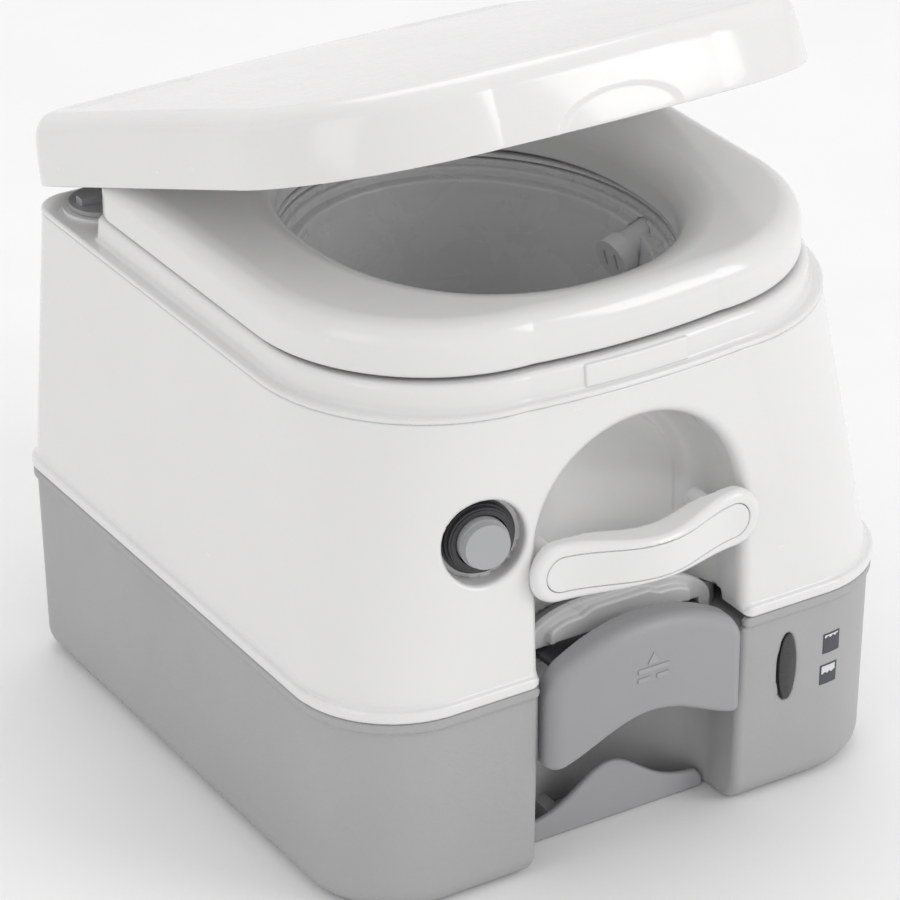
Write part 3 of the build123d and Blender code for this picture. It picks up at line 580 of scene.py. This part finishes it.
# ------------------------------------------------------------------ guide plate and foot plate
def guide(x, y, z):
    ax = np.abs(x)
    top = 134.0 - 16.0 * np.clip(ax / 56.0, 0.0, 1.0) ** 4
    plate = rmax(rmax(ax - 56.0, (z - top) * 0.9, 4.0), 106.0 - z, 1.0)
    out = rmax(plate, slab(y, -146.0, -141.0), 1.4)
    # raised middle with stepped shoulders
    brow = 131.0 - 3.2 * np.clip((ax - 16.0) / 7.0, 0.0, 1.0)
    brow = brow - 3.8 * np.clip((ax - 27.0) / 14.0, 0.0, 1.0) ** 2
    step = rmax(rmax(ax - 41.0, z - brow, 2.0), 117.0 - z, 0.8)
    out = rmin(out, rmax(step, slab(y, -150.0, -143.0), 1.3), 1.0)
    wide = np.maximum(ax - 48.5, np.abs(z - 112.2) - 2.7)
    tall = np.maximum(ax - 38.0, slab(z, 109.5, 117.8))
    window = np.minimum(wide, tall)
    return rmax(out, -np.maximum(window, slab(y, -160.0, -130.0)), 0.6)


solid("valve_guide_v", "valve_guide", guide, (-56, -150, 106), (56, -141, 134), 0.8,
      "waste_unit", M["bowl_white"])


def foot(x, y, z):
    hump = 11.0 + 22.5 * np.exp(-(x / 26.0) ** 2)
    edge = rmax(np.abs(x) - 57.0, (z - hump) * 0.82, 7.0)
    plate = rmax(edge, 0.4 - z, 0.6)
    out = rmax(plate, slab(y, -143.0, -139.0), 1.8)
    web = np.maximum(np.abs(np.abs(x) - 28.0) - 4.0, np.maximum(slab(z, 1.0, 11.0), slab(y, -140.0, -100.0)))
    return np.minimum(out, np.maximum(web, y - recess_back(x) - 0.5))


solid("foot_plate_v", "foot_plate", foot, (-57, -143, 0.4), (57, -118, 33.5), 0.8,
      "waste_unit", M["plate_grey"])

# ------------------------------------------------------------------ level window and its pictures
LENS_AT = (88.0, 74.0)


def lens(x, y, z):
    plan = egg(x - LENS_AT[0], z, 5.3, 19.0, LENS_AT[1])
    front = -169.8 - y + 0.05 * np.maximum(plan + 5.0, 0.0) ** 1.5
    return rmax(rmax(plan, front, 0.5), y + 168.4, 0.2)


solid("level_lens_v", "level_lens", lens, (82.7, -169.8, 55), (93.3, -168.4, 93), 0.45,
      "waste_unit", M["clear_lens"])


def tank_wall(x, y, z):
    return rounded(x, y, mix(T_BOT, T_TOP, np.clip((z - 7.0) / 97.5, 0.0, 1.0)))


def picture(x, z, cx, cz, level):
    """Sign of a tank filled up to level, 0 to 1: a frame, and the fill with a wavy top."""
    dx, dz = x - cx, z - cz
    box = np.maximum(np.abs(dx) - 5.4, np.abs(dz) - 5.8)
    wave = 0.45 * np.sin(dx * 2.1)
    air = np.maximum(np.maximum(np.abs(dx) - 4.5, dz - 4.9), -5.8 + 11.6 * level + wave - dz)
    return box, air


def pictures(x, y, z, part):
    d = tank_wall(x, y, z)
    shape = None
    for cx, cz, level in ((115.5, 79.5, 0.80), (114.5, 61.5, 0.55)):
        box, air = picture(x, z, cx, cz, level)
        one = np.maximum(box, -air) if part == "dark" else np.maximum(air + 0.05, box)
        shape = one if shape is None else np.minimum(shape, one)
    top = 0.30 if part == "dark" else 0.26
    return np.maximum(np.maximum(shape, slab(d, -0.5, top)), y + 130.0)


solid("level_pictures_v", "level_pictures", lambda x, y, z: pictures(x, y, z, "dark"),
      (109, -169, 55), (121.5, -164, 86), 0.35, "waste_unit", M["dark_print"])
solid("level_pictures_light", None, lambda x, y, z: pictures(x, y, z, "light"),
      (109, -169, 55), (121.5, -164, 86), 0.35, "waste_unit", M["bowl_white"])


# front panel of the collar
def tab(x, y, z):
    draft = grow(D_COL, 1.3 - 1.0 * np.clip((z - STEP_Z - 3.0) / 13.0, 0.0, 1.0))
    out = rmax(rounded(x, y, draft, 4.0), slab(z, 258.0, 269.5), 0.9)
    out = rmax(out, np.abs(x) - 29.0, 0.8)
    return np.maximum(out, y + 155.0)


solid("front_tab_v", "front_tab", tab, (-29, -161, 258), (29, -155, 269.5), 0.7,
      "flush_unit", M["white_gloss"])

# ------------------------------------------------------------------ small CAD pieces, dressed
for node, obj in NODES.items():
    if obj.hide_render:
        continue
    slot_name = next(s["material_slot"] for s in frame["record"]["subparts"] if s["node"] == node)
    obj.data.materials.clear()
    obj.data.materials.append(M[slot_name])
    for p in obj.data.polygons:
        p.use_smooth = True
    bev = obj.modifiers.new("edge", "BEVEL")
    bev.width = 0.0004
    bev.segments = 2
    bev.limit_method = "ANGLE"
    bev.angle_limit = math.radians(40)
    bev.harden_normals = True

# ------------------------------------------------------------------ floor, light, camera
floor_mesh = bpy.data.meshes.new("floor")
floor_mesh.from_pydata([(-6, -6, 0), (6, -6, 0), (6, 6, 0), (-6, 6, 0)], [], [(0, 1, 2, 3)])
floor = bpy.data.objects.new("floor", floor_mesh)
bpy.context.scene.collection.objects.link(floor)
floor_mesh.materials.append(plastic("floor_pale", (0.90, 0.90, 0.90), 0.75, grain=0.2, tint=0.01, wear=0.1))

world = bpy.data.worlds.new("studio")
bpy.context.scene.world = world
world.use_nodes = True
world.node_tree.nodes["Background"].inputs[0].default_value = (1.0, 0.995, 0.99, 1)
world.node_tree.nodes["Background"].inputs[1].default_value = 0.80


def softbox(name, at, aim, size, power):
    light = bpy.data.lights.new(name, "AREA")
    light.shape = "RECTANGLE"
    light.size, light.size_y = size
    light.energy = power
    obj = bpy.data.objects.new(name, light)
    bpy.context.scene.collection.objects.link(obj)
    obj.location = at
    obj.rotation_euler = (Vector(aim) - Vector(at)).to_track_quat("-Z", "Y").to_euler()
    return obj


softbox("key", (1.5, -1.9, 1.5), (0, 0, 0.15), (1.2, 1.4), 17)
softbox("fill", (-2.0, -0.6, 1.1), (0, 0, 0.15), (1.0, 1.2), 4)
softbox("top", (0.4, 0.9, 2.2), (0, 0, 0.2), (1.6, 1.2), 10)

SENSOR_MM = 36.0
LENS_MM = 171.676
cam_data = bpy.data.cameras.new("camera")
cam = bpy.data.objects.new("camera", cam_data)
bpy.context.scene.collection.objects.link(cam)
right = Vector((0.8480, -0.5299, 0.0))
back = Vector((-0.4674, -0.7481, 0.4710)).normalized()
up = back.cross(right).normalized()
right = up.cross(back)
target = Vector((0, 0, 0.150))
cam.matrix_world = Matrix.Translation(target + back * 2.1914 - right * 0.0043 - up * 0.0044) @ Matrix(
    (right, up, back)).transposed().to_4x4()
cam_data.sensor_width = SENSOR_MM
cam_data.lens = LENS_MM
cam_data.clip_start = 0.05
bpy.context.scene.camera = cam
bpy.context.scene.view_settings.view_transform = "Standard"
